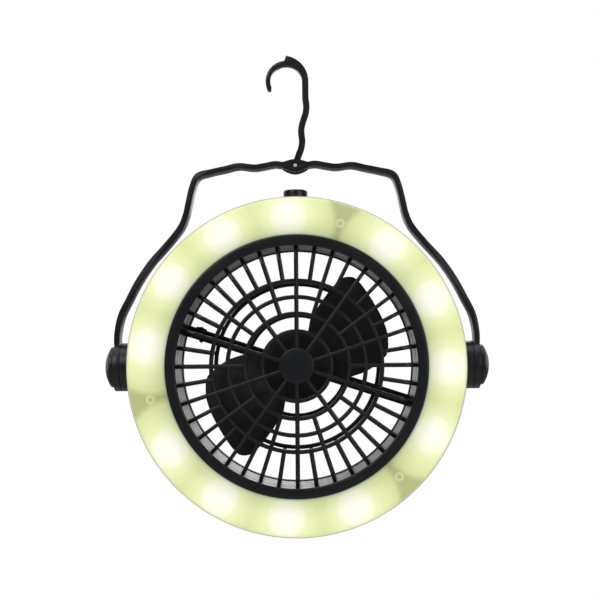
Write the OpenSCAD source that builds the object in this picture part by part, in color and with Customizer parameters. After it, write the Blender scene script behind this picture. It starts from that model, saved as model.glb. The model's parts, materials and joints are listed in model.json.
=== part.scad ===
// Portable camping fan: a ring of lights round a ducted fan, carried by a bail with a folding hook.
// The fan blows along -Y, +X is right as the user faces the grille, and +Z is up.
// Pieces are drawn about the fan's own axis, then moved so that the hook's round is the origin.

/* [Ring light] */
// Outer radius of the lit ring
ring_r = 92.5; // [88:0.5:96]
// Wall thickness of the milky lens
lens_wall = 2; // [1.6:0.1:2.6]
// Depth of the lens's side wall
lens_depth = 12; // [10:0.5:12.5]
// Rounding of the lens's front edge
lens_round = 3; // [1:0.5:4]
// Number of light emitters
led_count = 12; // [6:3:12]
// Distance from the ring's edge in to the circle of emitters
led_inset = 10.7; // [9.5:0.1:12]
// Width of one emitter
led_size = 3.5; // [2.8:0.1:5]
// Thickness of the emitter board
board_t = 1.6; // [1:0.2:2]
// Outer diameter of a screw post behind the lens
lens_post_d = 5.2; // [4.8:0.2:6]

/* [Duct and grilles] */
// Width of the lit band, from the bezel to the ring's edge
lit_band = 21.2; // [20.8:0.1:21.6]
// Width of the black bezel's face
bezel_w = 5.8; // [5.3:0.1:6.2]
// Wall thickness of the duct
duct_wall = 2.3; // [2.1:0.1:2.6]
// How far the bezel stands in front of the lens
bezel_proud = 1.5; // [1:0.25:2.5]
// Number of ribs in each grille
rib_count = 40; // [20:20:40]
// Width of a rib
rib_w = 2.1; // [1.6:0.1:2.6]
// Depth of a rib
rib_depth = 3; // [2.4:0.2:3.4]
// Width of a grille ring
grille_ring_w = 2.3; // [1.8:0.1:2.8]
// Radius of the grille's central disc
grille_disc_r = 9.8; // [8:0.2:12]
// Distance from the front grille's ribs to the rear grille's ribs
grille_gap = 29.5; // [29.5:0.5:31]
// Width of the strut that carries the leads
strut_w = 6.4; // [6:0.2:8]

/* [Impeller and motor] */
// Clearance from the blade tips to the duct
tip_gap = 7.2; // [4.5:0.1:11]
// Thickness of a blade
blade_t = 1.5; // [1.2:0.1:2]
// Radius of the impeller's hub
hub_r = 19; // [17.5:0.5:20]
// Depth of the impeller's hub
hub_depth = 12.5; // [12:0.5:13]
// Height of the blade's root along the axis
blade_rise = 10; // [7:0.5:10]
// Number of blades
blade_count = 2; // [2:1:4]
// Radius of the motor's can
motor_r = 12.2; // [11:0.1:12.5]
// Length of the motor's can
motor_len = 12.4; // [11:0.2:13]
// Radius of the motor's shaft
shaft_r = 1; // [0.75:0.25:1.5]

/* [Housing] */
// Clearance from the cells to the battery door
door_gap = 0.6; // [0.4:0.1:3]
// Wall thickness of the rear housing
shell_wall = 2; // [1.6:0.1:2.4]
// Rounding of the housing's rear edge
rear_round = 5; // [3:0.5:5]
// Half angle of the battery door
door_half_angle = 46.5; // [46.5:0.5:48]
// Thickness of the battery door
door_t = 1.8; // [1.4:0.1:2]
// Diameter of a battery cell
cell_d = 14.5; // [14:0.1:14.5]
// Length of a battery cell
cell_len = 50.5; // [49:0.5:50.5]

/* [Button] */
// Diameter of the power button
button_d = 13.6; // [11:0.2:15]
// How far the button stands above the ring
button_proud = 5.6; // [4:0.2:7]
// Travel of the button
button_travel = 2; // [1:0.25:2.5]

/* [Bail and hook] */
// Depth of the pivot axis behind the lens's front
pivot_y = 20; // [19:0.5:22]
// Diameter of the bail's end discs and their bosses
eyelet_d = 26.8; // [24:0.2:27]
// Thickness of the bail's end discs
eyelet_t = 3.6; // [3:0.2:4]
// Distance from the ring to a disc's inner face
eyelet_gap = 4.8; // [4.3:0.1:6.5]
// Depth of the bail's strip
bail_depth = 11; // [9:0.5:12]
// Thickness of the bail's legs
leg_t = 3.2; // [2.6:0.1:3.6]
// Thickness of the bail's wavy grip
grip_t = 2.7; // [2.4:0.1:3.2]
// Height of the hook's pin above the ring
pin_rise = 19; // [18.5:0.5:23.5]
// Radius of the hook's pin
pin_r = 1; // [0.8:0.1:1.4]
// Diameter of a pivot cap
cap_d = 22.5; // [20:0.5:24]
// Thickness of a pivot cap
cap_t = 5.4; // [4.5:0.1:6.5]
// Inner radius of the hook's round
hook_r = 8.9; // [7:0.1:10]
// Thickness of the hook's shaft
hook_t = 3.6; // [3:0.1:4]
// Thickness of the hook's bill
bill_t = 2.7; // [2.2:0.1:3.2]
// Depth of the hook
hook_depth = 5; // [4:0.25:6]

/* [Hidden] */
$fn = 64;

// Small distances between neighbours
eps = 0.01;
fit = 0.05;
gap = 0.3;

// Sizes that the ring and the cells set
bezel_r = ring_r - lit_band;
duct_r = bezel_r - bezel_w;
led_circle_r = ring_r - led_inset;
blade_tip_r = duct_r - tip_gap;
eyelet_x = ring_r + eyelet_gap;
pin_z = ring_r + pin_rise;

// Front grille
rib_front = 1.5;
rib_back = rib_front + rib_depth;
rib_drop = 4;
rib_bend_r = duct_r - 7;
bezel_front = -bezel_proud;
skirt_back = rib_back + rib_drop - 1.2;
disc_front = rib_front - 1;
disc_back = rib_back - 0.5;
ring_step = 0.3;
ring_shares = [18.9, 28.5, 37.5, 46.4] / 65.5;
ring_radii = ring_shares * duct_r;

// Ring light
lens_lip_r = bezel_r + gap;
flange_front = lens_wall + gap;
flange_r = bezel_r + 3.2;
lens_in_r = ring_r - lens_wall;
board_r = lens_in_r - 0.8;
board_in_r = flange_r + 1.9;
board_front = 8;
board_back = board_front + board_t;
emitter_t = 1.4;
post_hole_r = 0.85;
post_angles = [for (i = [0:2]) 73 + 120 * i];
emitter_groups = [for (post = post_angles, step = [0:led_count / 3 - 1])
    post + 19.5 + step * 108 / (led_count / 3)];

// Housing
duct_out_r = duct_r + duct_wall;
housing_front = lens_depth + 0.1;
guard_front = rib_front + grille_gap + rib_depth;
guard_back = guard_front + rib_depth;
rim_r = duct_r + duct_wall / 2 - 0.1;
rim_in_r = duct_r - 0.5;
rim_depth = rib_depth + 1.4;
cell_pitch = cell_d + 0.2;
cell_front = board_back + 2.8;
body_depth = cell_front + cell_d + cell_pitch + door_gap + door_t;
rear_inner = body_depth - shell_wall;
screw_boss_angles = [38, 142, 205, 335];
screw_boss_r = 4;
screw_post_r = 3;
screw_circle_r = duct_out_r + screw_post_r + 0.4;
screw_r = 1.2;
screw_head_r = 2.4;
screw_head_t = 1.8;
screw_seat = 18;
screw_tip = rib_back + 0.8;
post_back = flange_front + 5.4;

// Motor and impeller
cup_floor = guard_front + 0.6;
cup_wall = 1.8;
motor_back = cup_floor - 0.1;
motor_front = motor_back - motor_len;
end_cap_t = 2.4;
bush_r = 3;
bush_t = 1.5;
hub_front = rib_back + 5.5;
hub_wall = 1.8;
hub_boss_r = 3;
blade_mid = hub_front + hub_depth / 2 + 0.25;
blade_grid = 12;
blade_taper = 0.35;
blade_camber = 1;
blade_corner = 4;
// Edges of a blade: share of its length against angle, then against radius
lead_angle = [[0, 71], [0.2, 73.5], [0.42, 70], [0.63, 67], [0.92, 63], [1, 58]];
trail_angle = [[0, -23], [0.25, -17], [0.5, -10.5], [0.75, -4.5], [1, 3]];
lead_tip_r = blade_tip_r;
trail_tip_r = blade_tip_r - 7.5;

// Batteries
cell_row_r = duct_out_r + cell_d / 2 + 0.55;
cell_angle = 22;
tray_half_angle = door_half_angle - 1.3;
tray_wall = 1.2;
tray_wall_angle = 1.05;
tray_front = cell_front - tray_wall - 0.1;
tray_back = body_depth - shell_wall - 0.1;
tray_r = lens_in_r - 2.3;
tray_in_r = duct_out_r + 0.15;
contact_t = 0.5;
door_r = ring_r - rear_round - 0.8;
door_in_r = duct_out_r + 1;

// Leads
lead_r = 0.7;
lead_y = guard_front - lead_r - 0.05;
lead_side = 0.8;
lead_turn_r = screw_circle_r + screw_boss_r + lead_r + 0.4;
strut_angle = 162;
strut_front = guard_front - 2.5;
channel_w = strut_w - 3;

// Button and switch
button_r = button_d / 2;
button_top = ring_r + button_proud;
button_flange_r = button_r + 1;
button_flange_t = 1.4;
button_flange_top = lens_in_r - 0.8;
stem_r = 2;
stem_bottom = duct_out_r + 4;
switch_top = button_flange_top - button_flange_t - button_travel - 1.4;
switch_bottom = duct_out_r + 0.4;
switch_w = 17;
switch_d = 14;

// Pivots
boss_x = eyelet_x - gap;
spigot_r = 5;
spigot_x = eyelet_x + eyelet_t + 0.15;
cap_x = eyelet_x + eyelet_t + gap;
cap_dome = 2.4;
cap_stem_r = 2.9;
pivot_base_x = lens_in_r - 4.5;
pivot_screw_r = 1.2;

// Bail, in its own plane: x across, z up from the fan's axis
leg_x = eyelet_x + eyelet_t / 2 + 0.55;
grip_z = pin_z + 0.3;
grip_end_x = 46;
grip_blend = 10;
leg_thin_z = 30;
leg_blend = 15;
grip_points = [
    [0, grip_z - 0.3], [5, grip_z], [11, grip_z + 0.9], [17, grip_z - 0.1], [23, grip_z - 0.9],
    [31.5, grip_z], [39, grip_z - 1.6], [47, grip_z - 3.3], [54.5, grip_z - 5.6], [57.6, grip_z - 12]
];
// The leg's curve as drawn round a ring of 92.5; it moves in or out with the ring
leg_ring_r = 92.5;
leg_curve = [
    [59.7, 91], [61.3, 84], [64.5, 76.8], [72, 67.5], [80.5, 58], [87.5, 47.8], [93, 37.5], [97.6, 28]
];
bail_points = concat(
    grip_points,
    [for (p = leg_curve) p + (ring_r - leg_ring_r) * p / norm(p)],
    [[leg_x, 18], [leg_x, 10.5]]);
eyelet_half_w = 7.3;
eyelet_half_h = 3.6;

// Hook, in the bail's plane and about its pin
hook_x = -4.7;
hook_z = 48.2;
hook_arc_r = hook_r + hook_t / 2;
hook_points = [
    [0, 0], [0.9, 3], [2.1, 6.6], [3.4, 9.9], [4, 14], [3.5, 20], [4.5, 25], [6.1, 29.8],
    [6.5, 34.2], [6, 38.5], [hook_x + hook_arc_r, 43], [hook_x + hook_arc_r, hook_z]
];
hook_eye_r = 3.2;
slot_w = hook_depth + 0.5;
slot_half_w = 6.6;
barb_rise = 2;
bill_end = 202;
origin_shift = [-hook_x, -pivot_y, -pin_z - hook_z];

// ---- helpers ----

// Moves a piece from the fan's axis to the part's frame
module placed() {
    translate(origin_shift) children();
}

// Turns a profile of [radius, depth] points about the fan's axis
module turned(points, from = 0, sweep = 360) {
    rotate([90, 0, 0])
        rotate([0, 0, from])
            rotate_extrude(angle = sweep, $fn = 128)
                polygon([for (p = points) [p[0], -p[1]]]);
}

// A ring about the fan's axis between two depths
module ring(r_out, r_in, front, back) {
    turned([[r_in, front], [r_out, front], [r_out, back], [r_in, back]]);
}

// A sector of a ring about the fan's axis, centred on an angle
module sector(r_out, r_in, front, back, middle, half_angle) {
    turned([[r_in, front], [r_out, front], [r_out, back], [r_in, back]],
        middle - half_angle, 2 * half_angle);
}

// A flat outline as seen from the front, given depth
module slab(front, back) {
    translate([0, back, 0])
        rotate([90, 0, 0])
            linear_extrude(back - front) children();
}

// A rod along the depth
module rod_y(r, front, back) {
    translate([0, front, 0]) rotate([-90, 0, 0]) cylinder(r = r, h = back - front);
}

// A rod along the width, on the pivot's axis
module rod_x(r, left, right) {
    translate([left, pivot_y, 0]) rotate([0, 90, 0]) cylinder(r = r, h = right - left);
}

// A rod along the height, at the pivot's depth
module rod_z(r, bottom, top) {
    translate([0, pivot_y, bottom]) cylinder(r = r, h = top - bottom);
}

// Puts a child at an angle about the fan's axis, its own x pointing outward
module at_angle(angle, r = 0) {
    rotate([0, -angle, 0]) translate([r, 0, 0]) children();
}

// Smooth curve through points: a cubic between each pair
function cubic(a, b, c, d, t) = 0.5 * (2 * b + (c - a) * t
    + (2 * a - 5 * b + 4 * c - d) * t * t + (3 * b - a - 3 * c + d) * t * t * t);
function smooth(points, steps) = let(last = len(points) - 1) concat(
    [for (i = [0:last - 1], k = [0:steps - 1])
        cubic(points[max(i - 1, 0)], points[i], points[i + 1], points[min(i + 2, last)], k / steps)],
    [points[last]]);

// Unit normal to the left of a path at one of its points
function path_normal(path, i) = let(
    a = path[max(i - 1, 0)],
    b = path[min(i + 1, len(path) - 1)],
    along = (b - a) / norm(b - a)) [-along[1], along[0]];

// Outline of a strip along a path, with half its thickness at each point
function strip(path, half) = concat(
    [for (i = [0:len(path) - 1]) path[i] + half[i] * path_normal(path, i)],
    [for (i = [len(path) - 1:-1:0]) path[i] - half[i] * path_normal(path, i)]);

// Goes from one value to another as t goes from 0 to 1
function blend(a, b, t) = a + (b - a) * max(0, min(1, t));

// ---- grilles ----

// One rib from a radius out to the duct, its outer end dropping back
module rib(from_r, to_r, front, drop) {
    bend_r = min(rib_bend_r, to_r - 1);
    translate([0, 0, -rib_w / 2])
        linear_extrude(rib_w)
            polygon([
                [from_r, front], [bend_r, front], [to_r, front + drop],
                [to_r, front + rib_depth + drop], [bend_r, front + rib_depth], [from_r, front + rib_depth]
            ]);
}

// Ribs of three lengths: every fourth from the centre, the others from their rings
module rib_fan(center_r, to_r, front, drop) {
    for (i = [0:rib_count - 1]) {
        from_r = i % 4 == 2 ? center_r : i % 4 == 0 ? ring_radii[1] : ring_radii[3];
        at_angle(i * 360 / rib_count) rib(from_r, to_r, front, drop);
    }
}

// A grille ring a little thinner than the ribs, with its front edges broken
module grille_ring(mid_r, rib_face) {
    half = grille_ring_w / 2;
    edge = 0.5;
    front = rib_face + ring_step;
    back = rib_face + rib_depth - ring_step;
    turned([
        [mid_r - half, front + edge], [mid_r - half + edge, front], [mid_r + half - edge, front],
        [mid_r + half, front + edge], [mid_r + half, back], [mid_r - half, back]
    ]);
}

module front_grille() {
    edge = 0.8;
    disc_edge = 0.6;
    color("#202326") placed() difference() {
        union() {
            turned([
                [duct_r, bezel_front + edge], [duct_r + edge, bezel_front],
                [bezel_r - edge, bezel_front], [bezel_r, bezel_front + edge],
                [bezel_r, flange_front], [flange_r, flange_front],
                [flange_r, flange_front + 1.6], [duct_out_r, flange_front + 1.6],
                [duct_out_r, skirt_back], [duct_r, skirt_back]
            ]);
            rib_fan(grille_disc_r - 0.5, duct_r + 0.5, rib_front, rib_drop - 1.4);
            for (r = ring_radii) grille_ring(r, rib_front);
            turned([
                [0, disc_front], [grille_disc_r - disc_edge, disc_front],
                [grille_disc_r, disc_front + disc_edge], [grille_disc_r, disc_back], [0, disc_back]
            ]);
            for (a = screw_boss_angles)
                at_angle(a, screw_circle_r) rod_y(screw_post_r, flange_front + 0.8, post_back);
        }
        for (a = screw_boss_angles)
            at_angle(a, screw_circle_r) rod_y(screw_r + fit / 2, screw_tip - 0.5, post_back + 1);
    }
}

module rear_grille() {
    cup_r = motor_r + cup_wall + 0.1;
    color("#1c1e21") placed() difference() {
        union() {
            rib_fan(hub_r - 1, rim_in_r + 0.5, guard_front, 0);
            for (r = [ring_radii[1], ring_radii[3]]) grille_ring(r, guard_front);
            ring(hub_r, 0, guard_front + ring_step, guard_back + ring_step);
            ring(cup_r, 0, hub_front + hub_depth + 1.5, guard_back - ring_step);
            ring(rim_r, rim_in_r, guard_front - 0.6, guard_front - 0.6 + rim_depth);
            rotate([0, -strut_angle, 0])
                translate([-rim_in_r - 0.3, strut_front, -strut_w / 2])
                    cube([2 * rim_in_r + 0.6, guard_back - strut_front, strut_w]);
        }
        // Motor's seat and its rear bearing
        ring(motor_r + 0.1, 0, hub_front, cup_floor);
        rod_y(bush_r + 0.1, cup_floor - 1, guard_back + 1);
        // Channel for the leads, on the strut's front and out through the rim
        rotate([0, -strut_angle, 0])
            translate([motor_r - 1, strut_front - 8, -channel_w / 2])
                cube([rim_r + 2 - motor_r, guard_front + 8.1 - strut_front, channel_w]);
    }
}

// The window in the duct's wall that both leads pass
module lead_window() {
    half = lead_r + 0.12;
    rotate([0, -strut_angle, 0])
        translate([duct_r - 2, lead_y - half, -channel_w / 2])
            cube([duct_wall + 4, 2 * half, channel_w]);
}

// ---- ring light ----

module lens_ring() {
    color("#eef2cf") placed() difference() {
        union() {
            rotate([90, 0, 0]) rotate_extrude($fn = 128) difference() {
                union() {
                    translate([lens_lip_r, -lens_depth])
                        square([ring_r - lens_round - lens_lip_r, lens_depth]);
                    translate([ring_r - lens_round - eps, -lens_depth])
                        square([lens_round + eps, lens_depth - lens_round]);
                    translate([ring_r - lens_round, -lens_round]) circle(r = lens_round);
                }
                translate([lens_lip_r - 1, -lens_depth - 1])
                    square([lens_in_r - lens_lip_r + 1, lens_depth + 1 - lens_wall]);
            }
            for (a = post_angles)
                at_angle(a, led_circle_r - 0.9) rod_y(lens_post_d / 2, lens_wall - eps, board_front);
        }
        for (a = post_angles)
            at_angle(a, led_circle_r - 0.9) rod_y(post_hole_r, lens_wall + 1, board_front + 1);
    }
}

module led_board() {
    color("white") placed() difference() {
        ring(board_r, board_in_r, board_front + gap / 3, board_back);
        for (a = post_angles)
            at_angle(a, led_circle_r - 0.9) rod_y(post_hole_r + 0.15, board_front - 1, board_back + 1);
    }
}

module leds() {
    color("#ffffee") placed() for (a = emitter_groups)
        at_angle(a, led_circle_r)
            translate([-led_size / 2, board_front + gap / 3 - emitter_t, -led_size / 2])
                cube([led_size, emitter_t, led_size]);
}

module lens_screws() {
    color("silver") placed() for (a = post_angles)
        at_angle(a, led_circle_r - 0.9) {
            rod_y(post_hole_r - fit, lens_wall + 1.5, board_back + eps);
            rod_y(1.9, board_back, board_back + 1.1);
        }
}

// ---- housing ----

// Section of a shell with a rounded rear edge, between two depths
module rear_section(r_out, r_in, front, back, round) {
    translate([r_in, -back]) square([r_out - round - r_in, back - front]);
    translate([r_out - round - eps, -back + round]) square([round + eps, back - round - front]);
    translate([r_out - round, -back + round]) circle(r = round);
}

module rear_housing() {
    color("#1c1e21") placed() difference() {
        union() {
            rotate([90, 0, 0]) rotate_extrude($fn = 128) difference() {
                rear_section(ring_r, duct_r, housing_front, body_depth, rear_round);
                rear_section(lens_in_r, duct_out_r, housing_front - 1, rear_inner,
                    rear_round - shell_wall);
            }
            ring(duct_out_r, duct_r, skirt_back + 0.1, rear_inner + eps);
            for (a = screw_boss_angles)
                at_angle(a, screw_circle_r) rod_y(screw_boss_r, post_back + 0.1, rear_inner + eps);
            for (side = [0, 1]) mirror([side, 0, 0]) pivot_boss();
        }
        // Seat of the rear grille's rim
        ring(rim_r + fit, duct_r - 1, guard_front - 0.6, body_depth + 1);
        for (a = screw_boss_angles) at_angle(a, screw_circle_r) {
            rod_y(screw_r + 0.15, post_back - 1, body_depth);
            rod_y(screw_head_r + 0.2, screw_seat, body_depth + 1);
        }
        sector(door_r + gap, door_in_r - gap, rear_inner - 1, body_depth + 1, 270,
            door_half_angle + gap);
        rod_z(button_r + 0.2, lens_in_r - 4, ring_r + 3);
        for (side = [0, 1]) mirror([side, 0, 0]) pivot_bore();
        lead_window();
    }
}

// The boss outside the shell, the block inside it and the spigot that the bail turns on
module pivot_boss() {
    difference() {
        rod_x(eyelet_d / 2, ring_r - 1.5, boss_x);
        ring(ring_r + gap, 0, 0, housing_front);
    }
    intersection() {
        rod_x(spigot_r + 2, pivot_base_x, ring_r - 0.5);
        ring(ring_r - 1, 0, housing_front, rear_inner);
    }
    rod_x(spigot_r, ring_r, spigot_x);
}

// Bore for a cap's stem, and the hole for its screw
module pivot_bore() {
    rod_x(cap_stem_r + 0.08, pivot_base_x + 2, spigot_x + 1);
    rod_x(pivot_screw_r + 0.1, pivot_base_x - 1, pivot_base_x + 3);
}

module housing_screws() {
    color("silver") placed() for (a = screw_boss_angles)
        at_angle(a, screw_circle_r) {
            rod_y(screw_r, screw_tip, screw_seat + eps);
            rod_y(screw_head_r, screw_seat, screw_seat + screw_head_t);
        }
}

// ---- pivots ----

// Domed cap with its stem, on the right
module pivot_cap() {
    dome_r = ((cap_d / 2) * (cap_d / 2) + cap_dome * cap_dome) / (2 * cap_dome);
    difference() {
        union() {
            rod_x(cap_d / 2, cap_x, cap_x + cap_t - cap_dome);
            rod_x(cap_stem_r, pivot_base_x + 2.1, cap_x + eps);
            intersection() {
                translate([cap_x + cap_t - dome_r, pivot_y, 0]) rotate([0, 90, 0]) sphere(dome_r, $fn = 96);
                rod_x(cap_d / 2, cap_x + cap_t - cap_dome - eps, cap_x + cap_t + 1);
            }
        }
        rod_x(pivot_screw_r + fit / 2, pivot_base_x, cap_x - 1.5);
    }
}

module pivot_cap_right() {
    color("#1c1e21") placed() pivot_cap();
}

module pivot_cap_left() {
    color("#1c1e21") placed() mirror([1, 0, 0]) pivot_cap();
}

module pivot_screws() {
    color("silver") placed() for (side = [0, 1]) mirror([side, 0, 0]) {
        rod_x(pivot_screw_r, pivot_base_x - eps, cap_x - 2);
        rod_x(2.6, pivot_base_x - 1.8, pivot_base_x);
    }
}

// ---- bail and hook ----

// Half the strip's thickness at a point of the bail
function bail_half(p) = let(
    x = abs(p[0]),
    upper = blend(grip_t, leg_t, (x - grip_end_x) / grip_blend),
    plain = blend(upper, leg_t - 0.4, (leg_thin_z - p[1]) / leg_blend) / 2,
    swell = eyelet_half_h - (eyelet_half_h - grip_t / 2) * pow(x / eyelet_half_w, 1.7))
    max(plain, swell);

module bail() {
    half_path = smooth(bail_points, 5);
    path = concat(
        [for (i = [len(half_path) - 1:-1:1]) [-half_path[i][0], half_path[i][1]]],
        half_path);
    color("#1f2124") placed() difference() {
        union() {
            slab(pivot_y - bail_depth / 2, pivot_y + bail_depth / 2)
                polygon(strip(path, [for (p = path) bail_half(p)]));
            for (side = [0, 1]) mirror([side, 0, 0])
                rod_x(eyelet_d / 2, eyelet_x, eyelet_x + eyelet_t);
        }
        for (side = [0, 1]) mirror([side, 0, 0])
            rod_x(spigot_r + 0.1, eyelet_x - 1, eyelet_x + eyelet_t + 1);
        translate([-slot_half_w, pivot_y - slot_w / 2, pin_z - eyelet_half_h - 2])
            cube([2 * slot_half_w, slot_w, 2 * eyelet_half_h + 4]);
        translate([0, 0, pin_z]) rod_y(pin_r + fit / 2, pivot_y - bail_depth, pivot_y + bail_depth);
    }
}

module hook_pin() {
    color("silver") placed() translate([0, 0, pin_z])
        rod_y(pin_r, pivot_y - bail_depth / 2 - 0.2, pivot_y + bail_depth / 2 + 0.2);
}

// Outer radius of the hook's round: it swells into the barb on top, then thins to the bill
function hook_outer(a) = hook_r + (a <= 90 ? hook_t + barb_rise * a * a / 8100 : bill_t);

// Outline of the hook, its round left a little tight for the bore that follows
module hook_outline() {
    shaft = smooth(hook_points, 4);
    last = len(shaft) - 1;
    round_center = [hook_x, hook_z];
    outer_angles = concat([for (a = [6:12:90]) a], [95], [for (a = [106:12:bill_end]) a], [bill_end]);
    polygon(concat(
        [for (i = [0:last]) shaft[i] - hook_t / 2 * path_normal(shaft, i)],
        [for (a = outer_angles) round_center + hook_outer(a) * [cos(a), sin(a)]],
        [for (a = [bill_end:-8:0]) round_center + (hook_r - 0.4) * [cos(a), sin(a)]],
        [for (i = [last:-1:0]) shaft[i] + hook_t / 2 * path_normal(shaft, i)]));
}

module hook() {
    front = pivot_y - hook_depth / 2;
    back = pivot_y + hook_depth / 2;
    bill_mid = hook_r + bill_t / 2;
    color("#1f2124") placed() translate([0, 0, pin_z]) difference() {
        union() {
            slab(front, back) hook_outline();
            rod_y(hook_eye_r, front, back);
            translate([hook_x, 0, hook_z]) at_angle(bill_end, bill_mid)
                rod_y(bill_t / 2 - fit, front, back);
        }
        translate([hook_x, 0, hook_z]) rod_y(hook_r, front - 1, back + 1);
        rod_y(pin_r + 0.08, pivot_y - hook_depth, pivot_y + hook_depth);
    }
}

// ---- impeller and motor ----

// Radius and angle of a blade's point: u runs out along the blade, v from edge to edge
function blade_angle(u, v) = lookup(u, lead_angle) * (1 - v) + lookup(u, trail_angle) * v;
function blade_tip(v) = lead_tip_r * (1 - v) + trail_tip_r * v
    - blade_corner * (pow(max(0, 1 - v / 0.12), 2) + pow(max(0, (v - 0.88) / 0.12), 2));
function blade_radius(u, v) = (hub_r - 1) * (1 - u) + blade_tip(v) * u;
function blade_y(u, v) = blade_mid + blade_rise * (1 - blade_taper * u) * (v - 0.5)
    - blade_camber * sin(180 * v);
function blade_point(u, v, side) = let(
    a = blade_angle(u, v),
    r = blade_radius(u, v),
    half = blade_t / 2 * (0.4 + 0.6 * sin(180 * v)) * (1 - 0.3 * u))
    [r * cos(a), blade_y(u, v) + side * half, r * sin(a)];

module blade() {
    n = blade_grid;
    row = n + 1;
    face = row * row;
    points = [for (side = [-1, 1], i = [0:n], j = [0:n]) blade_point(i / n, j / n, side)];
    front = [for (i = [0:n - 1], j = [0:n - 1]) let(k = i * row + j)
        each [[k, k + row, k + 1], [k + 1, k + row, k + row + 1]]];
    back = [for (f = front) [f[0] + face, f[2] + face, f[1] + face]];
    rim = concat(
        [for (j = [0:n - 1]) j], [for (i = [0:n - 1]) i * row + n],
        [for (j = [n:-1:1]) n * row + j], [for (i = [n:-1:1]) i * row]);
    sides = [for (k = [0:len(rim) - 1]) let(a = rim[k], b = rim[(k + 1) % len(rim)])
        each [[a, b, b + face], [a, b + face, a + face]]];
    polyhedron(points, concat(front, back, sides));
}

module impeller() {
    edge = 1;
    color("#17181a") placed() difference() {
        union() {
            turned([
                [0, hub_front], [hub_r - edge, hub_front], [hub_r, hub_front + edge],
                [hub_r, hub_front + hub_depth], [hub_r - hub_wall, hub_front + hub_depth],
                [hub_r - hub_wall, hub_front + hub_wall], [0, hub_front + hub_wall]
            ]);
            rod_y(hub_boss_r, hub_front + 1, motor_front - bush_t - 0.6);
            for (i = [0:blade_count - 1]) rotate([0, -i * 360 / blade_count, 0]) blade();
        }
        rod_y(shaft_r + fit / 2, hub_front + hub_wall, motor_front);
    }
}

module motor_shaft() {
    color("silver") placed() rod_y(shaft_r, hub_front + hub_wall + 0.3, cup_floor);
}

module motor_bush() {
    color("goldenrod") placed() ring(bush_r, shaft_r + 0.04, motor_front - bush_t, motor_front + 1);
}

module motor_can() {
    color("silver") placed() difference() {
        turned([
            [0, motor_front], [motor_r - 0.8, motor_front], [motor_r, motor_front + 0.8],
            [motor_r, motor_back - end_cap_t], [0, motor_back - end_cap_t]
        ]);
        rod_y(bush_r + fit / 2, motor_front - 1, motor_front + 1 + fit);
        rod_y(shaft_r + gap, motor_front, motor_back);
    }
}

module motor_end_cap() {
    color("white") placed() difference() {
        union() {
            rod_y(motor_r - 0.6, motor_back - end_cap_t, motor_back);
            rod_y(bush_r, motor_back - eps, guard_back - 1);
        }
        rod_y(shaft_r + 0.04, motor_back - end_cap_t - 1, cup_floor + 0.4);
    }
}

// ---- batteries ----

module battery_tray() {
    color("#2a2c30") placed() difference() {
        sector(tray_r, tray_in_r, tray_front, tray_back, 270, tray_half_angle);
        sector(tray_r - tray_wall, tray_in_r - 1, tray_front + tray_wall, body_depth, 270,
            tray_half_angle - tray_wall_angle);
    }
}

// Puts a child at each cell, its z along the cell
module at_cells(layers) {
    for (side = [-1, 1], layer = [0:layers - 1])
        at_angle(270 + side * cell_angle, cell_row_r)
            translate([0, cell_front + cell_d / 2 + layer * cell_pitch, 0]) children();
}

module battery_cells() {
    nub = 1;
    color("steelblue") placed() at_cells(2) {
        translate([0, 0, -cell_len / 2]) cylinder(r = cell_d / 2, h = cell_len - nub);
        translate([0, 0, cell_len / 2 - nub - eps]) cylinder(r = 2.75, h = nub + eps);
    }
}

module battery_contacts() {
    size = 10;
    color("silver") placed() at_cells(2) for (end = [-1, 1])
        translate([-size / 2, -size / 2, end * (cell_len / 2 + contact_t / 2 + 0.05) - contact_t / 2])
            cube([size, size, contact_t]);
}

module battery_door() {
    front = body_depth - door_t;
    grip_r = (door_r + door_in_r) / 2;
    color("#1c1e21") placed() difference() {
        sector(door_r, door_in_r, front, body_depth, 270, door_half_angle);
        // Finger ribs on the outside, sunk between grooves
        for (i = [-2:2])
            sector(grip_r + 6, grip_r - 6, body_depth - 0.6, body_depth + 1, 270 + i * 3, 0.7);
    }
}

// ---- switch, button and leads ----

module switch_body() {
    color("#33363a") placed() difference() {
        translate([-switch_w / 2, pivot_y - switch_d / 2, switch_bottom])
            cube([switch_w, switch_d, switch_top - switch_bottom]);
        rod_z(stem_r + 0.2, stem_bottom - button_travel - 0.5, switch_top + 1);
    }
}

module power_button() {
    edge = 1.2;
    color("#1f2124") placed() {
        translate([0, pivot_y, 0]) rotate_extrude() {
            translate([0, button_flange_top - 1])
                square([button_r, button_top - edge - button_flange_top + 1]);
            translate([0, button_top - edge - eps]) square([button_r - edge, edge + eps]);
            translate([button_r - edge, button_top - edge]) circle(r = edge);
            translate([0, button_flange_top - button_flange_t]) square([button_flange_r, button_flange_t]);
        }
        rod_z(stem_r, stem_bottom, button_flange_top - 1);
    }
}

// A lead from the motor along the strut, then round the duct to a given angle
module lead(side, to_angle) {
    turn_angle = strut_angle + side * asin(lead_side / lead_turn_r);
    from = min(turn_angle - 0.3, to_angle);
    to = max(turn_angle + 0.3, to_angle);
    start_r = motor_r - 0.55;
    rotate([0, -strut_angle, 0])
        translate([start_r, lead_y, side * lead_side])
            rotate([0, 90, 0]) cylinder(r = lead_r, h = lead_turn_r + lead_r / 3 - start_r);
    rotate([90, 0, 0]) rotate([0, 0, from])
        rotate_extrude(angle = to - from, $fn = 128)
            translate([lead_turn_r, -lead_y]) circle(r = lead_r - 0.05);
}

module lead_red() {
    switch_angle = 95;
    color("firebrick") placed() {
        lead(-1, switch_angle);
        at_angle(switch_angle, lead_turn_r)
            rod_y(lead_r + 0.25, pivot_y + switch_d / 2, lead_y + lead_r + 0.1);
    }
}

module lead_black() {
    color("#111111") placed() lead(1, 270 - tray_half_angle);
}

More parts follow.
